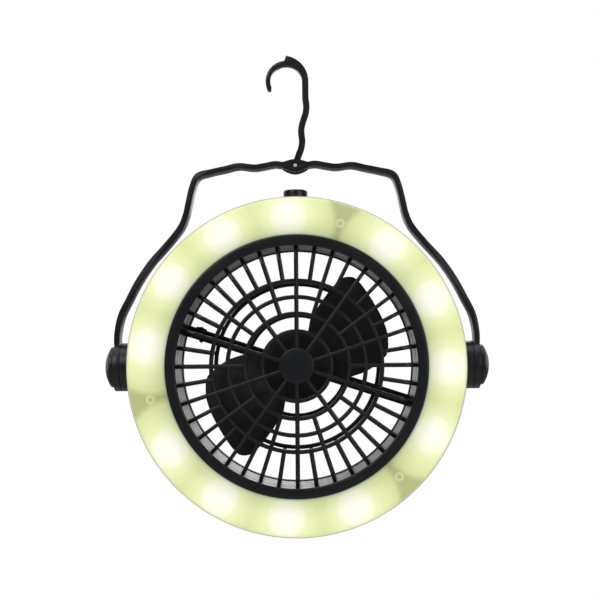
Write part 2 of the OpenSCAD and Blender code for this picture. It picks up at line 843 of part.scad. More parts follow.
hook();
bail();
hook_pin();
rear_housing();
rear_grille();
front_grille();
lens_ring();
led_board();
leds();
lens_screws();
housing_screws();
pivot_cap_left();
pivot_cap_right();
pivot_screws();
motor_can();
motor_end_cap();
motor_bush();
motor_shaft();
impeller();
battery_tray();
battery_cells();
battery_contacts();
battery_door();
switch_body();
power_button();
lead_red();
lead_black();
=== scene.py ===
import json
from functools import partial
from math import sin, cos, tan, asin, pi, radians
import bmesh
import bpy
from mathutils import Matrix, Vector


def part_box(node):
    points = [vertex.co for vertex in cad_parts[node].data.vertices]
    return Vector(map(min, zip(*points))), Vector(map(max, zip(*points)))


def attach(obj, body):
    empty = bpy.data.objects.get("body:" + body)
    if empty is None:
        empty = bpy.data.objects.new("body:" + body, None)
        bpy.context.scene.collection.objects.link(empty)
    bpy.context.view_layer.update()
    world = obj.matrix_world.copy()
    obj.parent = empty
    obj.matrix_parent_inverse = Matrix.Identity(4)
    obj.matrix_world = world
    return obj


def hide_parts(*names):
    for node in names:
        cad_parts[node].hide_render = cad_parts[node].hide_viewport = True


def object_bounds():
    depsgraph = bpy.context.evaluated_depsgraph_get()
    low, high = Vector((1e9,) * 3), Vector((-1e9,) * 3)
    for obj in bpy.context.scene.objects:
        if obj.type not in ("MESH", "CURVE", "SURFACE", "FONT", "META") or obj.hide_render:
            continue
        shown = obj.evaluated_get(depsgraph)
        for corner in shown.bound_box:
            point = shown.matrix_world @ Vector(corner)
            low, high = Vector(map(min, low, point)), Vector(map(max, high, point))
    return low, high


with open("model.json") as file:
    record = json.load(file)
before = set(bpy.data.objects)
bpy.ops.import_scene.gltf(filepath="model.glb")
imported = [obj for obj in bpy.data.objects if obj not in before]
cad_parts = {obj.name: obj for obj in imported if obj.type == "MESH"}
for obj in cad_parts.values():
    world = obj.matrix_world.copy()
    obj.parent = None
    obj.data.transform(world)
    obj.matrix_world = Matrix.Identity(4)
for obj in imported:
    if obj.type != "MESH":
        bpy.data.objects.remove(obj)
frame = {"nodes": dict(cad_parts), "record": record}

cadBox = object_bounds()
print("frame loaded,", len(frame["nodes"]), "nodes")

mm = 0.001
scene = bpy.context.scene

# the fan's axis comes from the impeller's joint, and depths are counted from the lens's front
joints = {joint["name"]: joint for joint in frame["record"]["behaviour"]["joints"]}
axisX, axisZ = joints["fan_spin"]["pos_m"][0], joints["fan_spin"]["pos_m"][2]
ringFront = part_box("lens_ring")[0][1]
print("fan axis at", round(axisX, 4), round(axisZ, 4), "front at", round(ringFront, 4))


def fanPoint(x, y, z):
    # from millimetres about the fan's axis and behind the lens's front to the part's frame
    return Vector((axisX + x * mm, ringFront + y * mm, axisZ + z * mm))


def hexLinear(code):
    # sRGB hex to linear colour
    out = []
    for i in (0, 2, 4):
        c = int(code[i:i + 2], 16) / 255
        out.append(c / 12.92 if c <= 0.04045 else ((c + 0.055) / 1.055) ** 2.4)
    return (*out, 1)


def setInputs(node, values):
    # a value is a plain one, a socket, or a node whose result is meant
    for key, value in values.items():
        if isinstance(value, bpy.types.Node):
            value = next(socket for socket in value.outputs if socket.enabled)
        if isinstance(value, bpy.types.NodeSocket):
            node.id_data.links.new(value, node.inputs[key])
        else:
            node.inputs[key].default_value = value


def addNode(tree, kind, values=(), stops=(), **settings):
    # one node with its settings and links; values go by name or in the inputs' order, and stops are
    # a ramp's pairs of place and hex colour
    node = tree.nodes.new("ShaderNode" + kind)
    for name, value in settings.items():
        setattr(node, name, value)
    for i, (place, code) in enumerate(stops):
        band = node.color_ramp.elements
        element = band[i] if i < len(band) else band.new(place)
        element.position = place
        element.color = hexLinear(code)
    setInputs(node, values if isinstance(values, dict) else dict(enumerate(values)))
    return node


def newMaterial(name):
    # an empty material: itself, the function that adds its nodes, and its shader
    mat = bpy.data.materials.new(name)
    mat.use_nodes = True
    mat.node_tree.nodes.clear()
    add = partial(addNode, mat.node_tree)
    shader = add("BsdfPrincipled")
    add("OutputMaterial", {"Surface": shader})
    return mat, add, shader


def fromAxis(add):
    # the way from the fan's axis as seen from the front, its length, and the place front to back
    place = add("TexCoord").outputs["Object"]
    way = add("Mapping", {"Vector": place, "Location": (-axisX, 0, -axisZ), "Scale": (1, 0, 1)})
    radius = add("VectorMath", [way], operation="LENGTH")
    return way, radius, add("SeparateXYZ", [place]).outputs["Y"]


mould = {
    "cloudMm": 50 / 3,  # flow clouds
    "cloudDetail": 3.0,
    "cloudRange": (0.3, 0.7),  # of the noise, from the glossiest to the dullest spot
    "roughSpread": 0.06,
    "grainDetail": 2.0,
    "grainStrength": 0.25,
    "ior": 1.53,
    "specular": 0.36,
}


def moulded(name, colour, rough, grainMm, grainDeepMm, toneSpread=0.12):
    # injection moulded plastic: an even colour, and a spark-eroded grain and faint flow clouds that
    # break up its sheen; the grain is drawn coarser than the real one, so that it shows
    mat, add, shader = newMaterial(name)
    place = add("TexCoord").outputs["Object"]
    cloud = add("TexNoise", {
        "Vector": place, "Scale": 1 / (mould["cloudMm"] * mm), "Detail": mould["cloudDetail"]})
    grain = add("TexNoise", {
        "Vector": place, "Scale": 1 / (grainMm * mm), "Detail": mould["grainDetail"]})
    base = hexLinear(colour)
    dark = [c * (1 - toneSpread) for c in base[:3]] + [1]
    light = [min(1, c * (1 + toneSpread)) for c in base[:3]] + [1]
    low, high = mould["cloudRange"]
    setInputs(shader, {
        "Base Color": add("Mix", {0: cloud, 6: dark, 7: light}, data_type="RGBA"),
        "Roughness": add("MapRange", {
            "Value": cloud, "From Min": low, "From Max": high,
            "To Min": rough - mould["roughSpread"], "To Max": rough + mould["roughSpread"]}),
        "Normal": add("Bump", {
            "Height": grain, "Strength": mould["grainStrength"], "Distance": grainDeepMm * mm}),
        "IOR": mould["ior"],
        "Specular IOR Level": mould["specular"]})
    return mat


plating = {
    "detail": 4.0,
    "roughSpread": 0.08,
}


def metal(name, colour, rough, markMm):
    # bare or plated metal: bright, its shine broken by fine marks, drawn coarse enough to show
    mat, add, shader = newMaterial(name)
    marks = add("TexNoise", {"Vector": add("TexCoord").outputs["Object"],
                             "Scale": 1 / (markMm * mm), "Detail": plating["detail"]})
    setInputs(shader, {
        "Base Color": hexLinear(colour),
        "Metallic": 1.0,
        "Roughness": add("MapRange", {
            "Value": marks, "To Min": rough - plating["roughSpread"],
            "To Max": rough + plating["roughSpread"]})})
    return mat


lens = {
    "spotCircleMm": 81.8,  # radius of the circle of bright spots
    "firstSpotDeg": 92.7,  # the first spot of a group, anticlockwise from the right-hand side
    "spotStepDeg": 26.5,
    "spotsInGroup": 4,
    "groupDeg": 120.0,
    # colours from a spot's middle outwards, the last at reachMm
    "reachMm": 28.0,
    "light": [(0.17, "FFFFEE"), (0.29, "FBFCDE"), (0.43, "ECF2BC"),
              (0.62, "E3E9AE"), (0.8, "DBE1A5"), (1.0, "B4BA82")],
    # how much of postTone shows from a post's middle outwards, the end at postReachMm
    "postCircleMm": 80.9,
    "postReachMm": 3.2,
    "post": [(0.0, "000000"), (0.34, "000000"), (0.46, "CCCCCC"), (0.66, "CCCCCC"),
             (0.84, "000000")],
    "postTone": "DDE3AE",
    # painted shade on the side, front to back: a grey band, then a dimmer glow; the last at deepMm
    "deepMm": 12.0,
    "deep": [(0.0, "E6E8C8"), (0.07, "D6D8BE"), (0.12, "A6A796"), (0.18, "8A8B83"),
             (0.25, "8F9088"), (0.33, "CDCFB4"), (1.0, "BFC2A0")],
    "edgeFrom": 0.02,  # share of deepMm where the front's colours start to give way to the side's painted shade
    "edgeTo": 0.11,
    "edgeShare": 0.9,
    # painted shade and reflection across the front: greyer and cooler at the inner lip, fading
    # outwards
    "lipMm": 71.6,
    "widthMm": 20.9,
    "lip": [(0.0, "C4C9D6"), (0.05, "D6DAE2"), (0.1, "E2E5E2"), (0.18, "EAEAEA"),
            (0.3, "F2F2F2"), (0.48, "FBFBFB"), (0.7, "FFFFFF")],
    "glow": 0.77,
    "body": 0.5,  # share of the lit colour painted into the base colour too: painted glow, lit again by the lamps
    "rough": 0.45,
    "specular": 0.3,
}


def litLens():
    # milky polycarbonate, moulded and lit from behind: a glow of soft white spots on yellow-green,
    # dimmer patches with a pale circle at the screw posts; painted shade: a grey line where the
    # edge turns away and a greyer front at the inner lip; a share of the glow is painted into the
    # base colour
    mat, add, shader = newMaterial("milky lit polycarbonate")
    way, radius, depth = fromAxis(add)

    def distance(circleMm, offDeg):
        # to a point on a circle round the axis that lies so many degrees off
        off = add("Math", [offDeg], operation="RADIANS")
        arc = add("Math", [off, radius], operation="MULTIPLY")
        across = add("Math", [radius, circleMm * mm], operation="SUBTRACT")
        return add("VectorMath", [add("CombineXYZ", [arc, across])], operation="LENGTH")

    step, group = lens["spotStepDeg"], lens["groupDeg"]
    span = lens["spotsInGroup"] * step
    postAt = (span + group) / 2  # a screw post stands in the middle of the gap after a group
    # angles in a group: within it each step has its spot in the middle, and in the gap after it the
    # nearest spot is the one beside the gap
    split = add("SeparateXYZ", [way])
    turn = add("Math", [split.outputs["Z"], split.outputs["X"]], operation="ARCTAN2")
    angle = add("Math", [turn], operation="DEGREES")
    fromFirst = add("Math", [angle, lens["firstSpotDeg"] - step / 2], operation="SUBTRACT")
    inGroup = add("Math", [fromFirst, group], operation="FLOORED_MODULO")
    inStep = add("Math", [inGroup, step], operation="FLOORED_MODULO")
    offSpot = add("Math", [inStep, step / 2], operation="SUBTRACT")
    fromPost = add("Math", [inGroup, postAt], operation="SUBTRACT")
    offPost = add("Math", [fromPost], operation="ABSOLUTE")
    pastSpot = add("Math", [(group - span + step) / 2, offPost], operation="SUBTRACT")
    inGap = add("Math", [inGroup, span], operation="GREATER_THAN")
    nearest = add("Mix", {0: inGap, 2: offSpot, 3: pastSpot})
    spots = add("Math", [distance(lens["spotCircleMm"], nearest), lens["reachMm"] * mm],
                operation="DIVIDE")
    light = add("ValToRGB", [spots], lens["light"])
    light.color_ramp.interpolation = "EASE"

    posts = add("Math", [distance(lens["postCircleMm"], offPost), lens["postReachMm"] * mm],
                operation="DIVIDE")
    withPosts = add("Mix", {
        0: add("ValToRGB", [posts], lens["post"]), 6: light, 7: hexLinear(lens["postTone"])},
        data_type="RGBA")
    # painted shade: the side's grey band and dimmer glow take over from the front's colours
    behind = add("Math", [depth, ringFront], operation="SUBTRACT")
    deep = add("Math", [behind, lens["deepMm"] * mm], operation="DIVIDE")
    edge = add("MapRange", {"Value": deep, "From Min": lens["edgeFrom"], "From Max": lens["edgeTo"],
                            "To Max": lens["edgeShare"]})
    withEdgeShade = add("Mix", {0: edge, 6: withPosts, 7: add("ValToRGB", [deep], lens["deep"])},
                   data_type="RGBA")
    # painted shade and reflection: the front greys and cools towards the inner lip
    inRing = add("Math", [radius, lens["lipMm"] * mm], operation="SUBTRACT")
    lip = add("Math", [inRing, lens["widthMm"] * mm], operation="DIVIDE")
    lit = add("Mix", {0: 1.0, 6: withEdgeShade, 7: add("ValToRGB", [lip], lens["lip"])},
              data_type="RGBA", blend_type="MULTIPLY")
    # painted glow: a share of the lit pattern, spots and posts included, goes into the base colour
    glowInBase = add("Mix", {0: 1.0, 6: lit, 7: (*[lens["body"]] * 3, 1)},
                data_type="RGBA", blend_type="MULTIPLY")
    setInputs(shader, {
        "Base Color": glowInBase,
        "Emission Color": lit,
        "Emission Strength": lens["glow"],
        "Roughness": lens["rough"],
        "Specular IOR Level": lens["specular"]})
    return mat


emitter = {
    "colour": "FFF2C0",
    "light": "FFF6D8",
    "strength": 2.0,
}


def litEmitter():
    # cast phosphor of a lit emitter: a warm white that outshines everything round it
    mat, _, shader = newMaterial("lit phosphor")
    setInputs(shader, {
        "Base Color": hexLinear(emitter["colour"]),
        "Emission Color": hexLinear(emitter["light"]),
        "Emission Strength": emitter["strength"]})
    return mat


duct = {
    "pitchMm": 8.5,
    "deepMm": 0.16,
    "wallMm": 66.4,  # the lines end at this distance from the axis
}


def addDuctLines(mat):
    # turning lines that the mould leaves round the air duct's wall
    add = partial(addNode, mat.node_tree)
    _, radius, depth = fromAxis(add)
    onWall = add("Math", [radius, duct["wallMm"] * mm], operation="LESS_THAN")
    phase = add("Math", [depth, 2 * pi / (duct["pitchMm"] * mm)], operation="MULTIPLY")
    height = add("Math", [add("Math", [phase], operation="SINE"), onWall], operation="MULTIPLY")
    grain = mat.node_tree.nodes["Bump"]
    setInputs(mat.node_tree.nodes["Principled BSDF"], {"Normal": add("Bump", {
        "Height": height, "Strength": 1.0, "Distance": duct["deepMm"] * mm, "Normal": grain})})
    return mat


# shells that are nearly black, with a soft sheen along their edges
satinAbs = moulded("satin black ABS", "1A1D21", rough=0.3, grainMm=0.35, grainDeepMm=0.008)
# the same, with pale and dark bands round the duct behind the ribs
housingAbs = addDuctLines(moulded("satin black ABS with a lined duct", "1A1D21", rough=0.3,
                                  grainMm=0.35, grainDeepMm=0.008))
# deeper black without a shine, for what lies behind the impeller and inside
mattAbs = moulded("matt black ABS", "141619", rough=0.55, grainMm=0.5, grainDeepMm=0.02)
# the blades' dull black, a touch smoother than the guard behind them
bladeAbs = moulded("matt black blade ABS", "121418", rough=0.5, grainMm=0.5, grainDeepMm=0.012)
# printed mask of the ring's board: an even, slightly warm white
boardResin = moulded("white solder mask", "E4E6E0", rough=0.4, grainMm=0.8, grainDeepMm=0.01,
                     toneSpread=0.04)
# motor cover, left in the plastic's own cream
nylon = moulded("natural nylon", "D9D5C6", rough=0.5, grainMm=0.6, grainDeepMm=0.01,
                toneSpread=0.05)
# shrunk film on the cells: plain blue and smooth
cellFilm = moulded("printed film wrap", "23467A", rough=0.3, grainMm=1.2, grainDeepMm=0.004)
# extruded sleeves of the leads: a dull skin, black and a red darkened as painted shade
redVinyl = moulded("red vinyl insulation", "451012", rough=0.45, grainMm=0.6, grainDeepMm=0.01)
blackVinyl = moulded("black vinyl insulation", "101012", rough=0.45, grainMm=0.6, grainDeepMm=0.01)
# screws, motor and contacts: cool grey with a fair shine
zincSteel = metal("zinc plated steel", "B9BBBE", rough=0.32, markMm=0.4)
# the pin's head, tumbled until it is nearly white
rivetSteel = metal("tumbled rivet steel", "E2E3E4", rough=0.55, markMm=0.4)
# the motor's bush: brown-gold and grainy
sinteredBronze = metal("sintered bronze", "A97B45", rough=0.5, markMm=0.3)
lensMaterial = litLens()
emitterMaterial = litEmitter()
print("materials made")

finishes = {
    "hook": satinAbs, "bail": satinAbs, "hook_pin": rivetSteel,
    "rear_housing": housingAbs, "rear_grille": mattAbs, "front_grille": satinAbs,
    "lens_ring": lensMaterial, "led_board": boardResin, "leds": emitterMaterial,
    "lens_screws": zincSteel, "housing_screws": zincSteel, "pivot_screws": zincSteel,
    "pivot_cap_left": satinAbs, "pivot_cap_right": satinAbs,
    "motor_can": zincSteel, "motor_end_cap": nylon, "motor_bush": sinteredBronze,
    "motor_shaft": zincSteel, "impeller": bladeAbs,
    "battery_tray": mattAbs, "battery_cells": cellFilm, "battery_contacts": zincSteel,
    "battery_door": satinAbs, "switch_body": mattAbs, "power_button": satinAbs,
    "lead_red": redVinyl, "lead_black": blackVinyl,
}


def dressNodes():
    for name, mat in finishes.items():
        obj = bpy.data.objects[name]
        obj.data.materials.clear()
        obj.data.materials.append(mat)
    print("nodes dressed")


def rounded(corners, steps=4):
    # outline of (x, y, corner radius), each corner turned into an arc
    outline = []
    for i, (x, y, radius) in enumerate(corners):
        here = Vector((x, y))
        if not radius:
            outline.append(here)
            continue
        back = (Vector(corners[i - 1][:2]) - here).normalized()
        ahead = (Vector(corners[(i + 1) % len(corners)][:2]) - here).normalized()
        half = back.angle(ahead) / 2
        centre = here + (back + ahead).normalized() * radius / sin(half)
        first, last = here + back * radius / tan(half), here + ahead * radius / tan(half)
        for k in range(steps + 1):
            outline.append(centre + (first.lerp(last, k / steps) - centre).normalized() * radius)
    return outline


def madeMark(bm):
    # a mesh doesn't keep the order its vertices were made in, so the older ones carry a mark
    return bm.verts.layers.int.get("made") or bm.verts.layers.int.new("made")


def newVerts(bm):
    mark = madeMark(bm)
    return [v for v in bm.verts if not v[mark]]


def takeNew(bm):
    # the vertices made since the last call, marked from now on
    mark = madeMark(bm)
    verts = newVerts(bm)
    for vert in verts:
        vert[mark] = 1
    return verts


def withFaces(bm, verts):
    # vertices with the edges and faces between them
    own = set(verts)
    return (verts + [e for e in bm.edges if e.verts[0] in own]
            + [f for f in bm.faces if f.verts[0] in own])


def turnBy(bm, verts, degreesUp):
    # turns vertices about the fan's axis, anticlockwise as the user sees it
    bmesh.ops.rotate(bm, verts=verts, cent=fanPoint(0, 0, 0),
                     matrix=Matrix.Rotation(-radians(degreesUp), 3, "Y"))


shaping = {
    "turnedMerge": 0.002,  # in millimetres, closes the poles of a turned shape
    "copyMerge": 0.004,  # the same for the loose triangles of a solid's copy
    "flatDeg": 0.6,  # faces of a solid that differ by less are one face again
    "sharpDeg": 40,  # edges of a solid that are eased
    "easeSegments": 3,
    "creaseDeg": 32,  # edges that stay sharp under smooth shading
}


def addTurned(bm, outline, steps, place=(0, 0, 0), axis="Y"):
    # a closed outline of (radius, distance along the axis) spun into a solid
    direction = Vector((axis == "X", axis == "Y", axis == "Z"))
    side = Vector((axis != "X", 0, axis == "X"))
    middle = Vector(place)
    verts = [bm.verts.new(fanPoint(*(middle + side * r + direction * d))) for r, d in outline]
    edges = [bm.edges.new((verts[i - 1], verts[i])) for i in range(len(verts))
             if outline[i - 1][0] > 0 or outline[i][0] > 0]
    bmesh.ops.spin(bm, geom=verts + edges, cent=fanPoint(*middle), axis=direction, angle=2 * pi,
                   steps=steps, use_merge=True, use_duplicate=False)
    bmesh.ops.remove_doubles(bm, verts=newVerts(bm), dist=shaping["turnedMerge"] * mm)
    return takeNew(bm)


def addBar(bm, section, path, degreesUp):
    # a section of (sideways, depth) pushed out along a path of (radius, drop)
    inner, drop = path[0]
    face = bm.faces.new([bm.verts.new(fanPoint(inner, y + drop, z)) for z, y in section])
    for (r0, d0), (r1, d1) in zip(path, path[1:]):
        grown = bmesh.ops.extrude_face_region(bm, geom=[face])["geom"]
        tip = [g for g in grown if isinstance(g, bmesh.types.BMVert)]
        face = [g for g in grown if isinstance(g, bmesh.types.BMFace)][0]
        bmesh.ops.translate(bm, verts=tip, vec=Vector((r1 - r0, d1 - d0, 0)) * mm)
    own = takeNew(bm)
    turnBy(bm, own, degreesUp)
    return withFaces(bm, own)


def addAround(bm, geom, copies):
    # copies of a shape evenly round the fan's axis
    bmesh.ops.spin(bm, geom=geom, cent=fanPoint(0, 0, 0), axis=(0, 1, 0),
                   angle=2 * pi * (copies - 1) / copies, steps=copies - 1,
                   use_merge=False, use_duplicate=True)


def finishPiece(name, bm, material, body, node):
    # smooth shading broken at real edges, then the piece takes its node's place
    bmesh.ops.recalc_face_normals(bm, faces=bm.faces[:])
    crease = radians(shaping["creaseDeg"])
    for face in bm.faces:
        face.smooth = True
    for edge in bm.edges:
        edge.smooth = len(edge.link_faces) == 2 and edge.calc_face_angle(0) < crease
    bm.verts.layers.int.remove(madeMark(bm))
    mesh = bpy.data.meshes.new(name)
    bm.to_mesh(mesh)
    bm.free()
    mesh.materials.append(material)
    obj = bpy.data.objects.new(name, mesh)
    scene.collection.objects.link(obj)
    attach(obj, body)
    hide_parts(node)
    print(name, len(mesh.polygons), "faces")


def copyOfNode(node, edgeMm):
    # a merged copy of a CAD solid, its flat faces whole again and its sharp edges eased
    source = bpy.data.objects[node]
    bm = bmesh.new()
    bm.from_mesh(source.data)
    bm.transform(source.matrix_world)
    bmesh.ops.remove_doubles(bm, verts=bm.verts[:], dist=shaping["copyMerge"] * mm)
    bmesh.ops.dissolve_limit(bm, angle_limit=radians(shaping["flatDeg"]), verts=bm.verts[:],
                             edges=bm.edges[:])
    if edgeMm:
        sharp = [e for e in bm.edges
                 if len(e.link_faces) == 2 and e.calc_face_angle(0) > radians(shaping["sharpDeg"])]
        bmesh.ops.bevel(bm, geom=sharp, offset=edgeMm * mm, offset_type="OFFSET",
                        segments=shaping["easeSegments"], profile=0.5, affect="EDGES",
                        clamp_overlap=True, material=-1)
    return bm


# sizes of all pieces are in millimetres: radii from the fan's axis, depths from the lens's front
grille = {
    "ribs": 40,
    "ribWide": 2.1,
    "ribDeep": 3.0,
    # first rib and number of those that start at the middle, the second and the fourth ring
    "ribRows": ((2, 10), (4, 10), (1, 20)),
    "ringWide": 2.3,
    "ringBack": 0.3,  # a ring stands this far behind the ribs' faces
    "ringRadii": (18.9, 28.5, 37.5, 46.4),
    "nose": 0.7,  # rounding of the faces that the air meets
    "heel": 0.25,  # and of their backs
    "cornerSteps": 3,
    "ringSteps": 160,
    "rimSteps": 192,
    "duct": 65.5,
    "bend": ((58.5, 0), (61.0, 0.28)),  # where a front rib starts to drop back, and by what share
    "drop": 2.6,
    "root": 0.5,  # how far a rib reaches into what carries it
}


def addRibs(bm, middle, outer, front, drop):
    half, back = grille["ribWide"] / 2, front + grille["ribDeep"]
    nose, heel = grille["nose"], grille["heel"]
    section = rounded([
        (-half, front, nose), (half, front, nose), (half, back, heel), (-half, back, heel)],
        grille["cornerSteps"])
    bend = [(radius, drop * share) for radius, share in grille["bend"]] if drop else []
    starts = (middle, grille["ringRadii"][1], grille["ringRadii"][3])
    for start, (first, copies) in zip(starts, grille["ribRows"]):
        path = [(start, 0), *bend, (outer, drop)]
        addAround(bm, addBar(bm, section, path, first * 360 / grille["ribs"]), copies)


def addGrilleRing(bm, radius, front):
    half, nose, heel = grille["ringWide"] / 2, grille["nose"], grille["heel"]
    face, back = front + grille["ringBack"], front + grille["ribDeep"] - grille["ringBack"]
    addTurned(bm, rounded([
        (radius - half, face, nose), (radius + half, face, nose),
        (radius + half, back, heel), (radius - half, back, heel)],
        grille["cornerSteps"]), grille["ringSteps"])


front = {
    "ribFace": 1.5,
    "bezel": 71.3,
    "bezelFace": -1.5,
    "lip": 0.9,
    "flange": 74.5,
    "flangeFace": 2.3,
    "flangeBack": 3.9,
    "ductOutside": 67.8,
    "skirtBack": 7.3,
    "ease": 0.2,
    "disc": 9.8,
    "discFace": 0.5,
    "discBack": 4.0,
    "discFlat": 0.6,  # share of the disc's radius where its dome starts to fall
    "discFall": (0.08, 0.3),  # there and at the rim
    "discRim": 0.8,
    "discCorner": 5,
    "discSteps": 96,
    "postCircle": 71.2,
    "postAngles": (38, 142, 205, 335),
    "postHole": 1.25,
    "postWide": 3,
    "postFace": 3.2,
    "postBack": 7.6,
    "postRim": 0.3,
    "postSteps": 32,
}


def makeFrontGrille():
    # bezel, skirt, ribs, four rings and the domed middle, moulded in one
    bm = bmesh.new()
    g = front
    ease = g["ease"]
    addTurned(bm, rounded([
        (grille["duct"], g["bezelFace"], g["lip"]), (g["bezel"], g["bezelFace"], g["lip"]),
        (g["bezel"], g["flangeFace"], ease), (g["flange"], g["flangeFace"], ease),
        (g["flange"], g["flangeBack"], ease), (g["ductOutside"], g["flangeBack"], ease),
        (g["ductOutside"], g["skirtBack"], ease), (grille["duct"], g["skirtBack"], ease)]),
        grille["rimSteps"])
    addRibs(bm, g["disc"] - grille["root"], grille["duct"] + grille["root"], g["ribFace"],
            grille["drop"])
    for radius in grille["ringRadii"]:
        addGrilleRing(bm, radius, g["ribFace"])
    inFall, rimFall = g["discFall"]
    addTurned(bm, rounded([
        (0, g["discFace"], 0), (g["disc"] * g["discFlat"], g["discFace"] + inFall, 0),
        (g["disc"], g["discFace"] + rimFall, g["discRim"]), (g["disc"], g["discBack"], ease),
        (0, g["discBack"], 0)], g["discCorner"]), g["discSteps"])
    for angle in g["postAngles"]:
        post = addTurned(bm, rounded([
            (g["postHole"], g["postFace"], 0), (g["postWide"], g["postFace"], 0),
            (g["postWide"], g["postBack"], g["postRim"]), (g["postHole"], g["postBack"], ease)]),
            g["postSteps"], (g["postCircle"], 0, 0))
        turnBy(bm, post, angle)
    finishPiece("front_grille_moulding", bm, satinAbs, "body", "front_grille")


rear = {
    "ribFace": 34.0,
    "hub": 19.0,
    "hubProud": 0.3,
    "hubRim": 0.6,
    "hubSteps": 96,
    "cup": 14.1,
    "cupBore": 12.3,
    "cupFace": 24.0,
    "cupFloor": 34.6,
    "cupRim": 0.4,
    "bush": 3.1,
    "rim": 66.55,
    "rimBore": 65.0,
    "rimFace": 33.4,
    "rimBack": 37.8,
    "rimRound": 0.5,
    "ease": 0.3,
    "fillet": 0.2,
    "strutAngle": 162,
    "strutFace": 31.5,
    "strutWide": 6.4,
    "strutHeel": 0.4,
    "strutRoot": 0.3,  # how far it reaches into the rim
    "channelWide": 3.4,
    "channelFloor": 34.1,
    "channelRim": (0.5, 0.4),  # its outer and inner rounding
    "barRim": 0.6,
    # along the strut, across it, radius
    "dabs": ((60.2, -3.3, 0.8), (58.2, -3.5, 1.1), (56.2, -3.2, 0.9), (56.4, 3.3, 0.8)),
    "dabDepth": 33.0,
    "dabSpread": (1.5, 1.2, 1),
}


def addDabs(bm):
    # small lumps of black sealant beside the strut, where the leads enter it
    for along, across, size in rear["dabs"]:
        bmesh.ops.create_icosphere(bm, subdivisions=3, radius=size * mm)
        own = takeNew(bm)
        bmesh.ops.scale(bm, verts=own, vec=rear["dabSpread"])
        bmesh.ops.translate(bm, verts=own, vec=fanPoint(along, rear["dabDepth"], across))
        turnBy(bm, own, rear["strutAngle"])


def makeRearGrille():
    # guard behind the impeller, with the motor's cup and the strut that carries the leads
    bm = bmesh.new()
    g = rear
    ease, fillet, heel = g["ease"], g["fillet"], g["strutHeel"]
    face, back = g["ribFace"], g["ribFace"] + grille["ribDeep"]
    addRibs(bm, g["hub"] - 2 * grille["root"], g["rimBore"] + grille["root"], face, 0)
    for radius in (grille["ringRadii"][1], grille["ringRadii"][3]):
        addGrilleRing(bm, radius, face)
    hubFace, hubBack = face + g["hubProud"], back + g["hubProud"]
    addTurned(bm, rounded([
        (g["bush"], hubBack, fillet), (g["hub"], hubBack, g["hubRim"]), (g["hub"], hubFace, ease),
        (g["cup"], hubFace, fillet), (g["cup"], g["cupFace"], g["cupRim"]),
        (g["cupBore"], g["cupFace"], ease), (g["cupBore"], g["cupFloor"], fillet),
        (g["bush"], g["cupFloor"], fillet)]), g["hubSteps"])
    addTurned(bm, rounded([
        (g["rimBore"], g["rimFace"], ease), (g["rim"], g["rimFace"], ease),
        (g["rim"], g["rimBack"], ease), (g["rimBore"], g["rimBack"], g["rimRound"])]),
        grille["rimSteps"])
    half, slot = g["strutWide"] / 2, g["channelWide"] / 2
    top, floor = g["strutFace"], g["channelFloor"]
    outer, inner = g["channelRim"]
    channel = rounded([
        (-half, top, outer), (-slot, top, inner), (-slot, floor, fillet), (slot, floor, fillet),
        (slot, top, inner), (half, top, outer), (half, back, heel), (-half, back, heel)],
        grille["cornerSteps"])
    bar = rounded([
        (-half, top, g["barRim"]), (half, top, g["barRim"]),
        (half, back, heel), (-half, back, heel)],
        grille["cornerSteps"])
    reach = [((g["cup"] + g["cupBore"]) / 2, 0), (g["rimBore"] + g["strutRoot"], 0)]
    addBar(bm, channel, reach, g["strutAngle"])
    addBar(bm, bar, reach, g["strutAngle"] + 180)
    addDabs(bm)
    finishPiece("rear_grille_moulding", bm, mattAbs, "body", "rear_grille")


ringLight = {
    "lip": 71.6,
    "lipRound": 0.5,
    "outside": 92.5,
    "wall": 2.0,
    "depth": 12.0,
    "round": 3.0,
    "fillet": 1.2,  # inside, where the front meets the outer wall
    "ease": 0.3,
    "cornerSteps": 8,
    "steps": 240,
    "postCircle": 80.9,
    "postAngles": (73, 193, 313),
    "postWide": 2.6,
    "postHole": 0.85,
    "postRoot": 0.1,  # how far a post reaches into the front wall
    "postBack": 8.0,
    "postChamfer": 0.2,
    "postSteps": 40,
}


def makeLens():
    # milky ring with a rounded outer edge and three screw posts behind it
    bm = bmesh.new()
    g = ringLight
    inside, ease = g["outside"] - g["wall"], g["ease"]
    addTurned(bm, rounded([
        (g["lip"], 0, g["lipRound"]), (g["outside"], 0, g["round"]),
        (g["outside"], g["depth"], ease), (inside, g["depth"], ease),
        (inside, g["wall"], g["fillet"]), (g["lip"], g["wall"], ease)],
        g["cornerSteps"]), g["steps"])
    root = g["wall"] - g["postRoot"]
    for angle in g["postAngles"]:
        post = addTurned(bm, rounded([
            (g["postHole"], root, 0), (g["postWide"], root, 0),
            (g["postWide"], g["postBack"], ease),
            (g["postHole"], g["postBack"], g["postChamfer"])]),
            g["postSteps"], (g["postCircle"], 0, 0))
        turnBy(bm, post, angle)
    finishPiece("lens", bm, lensMaterial, "body", "lens_ring")


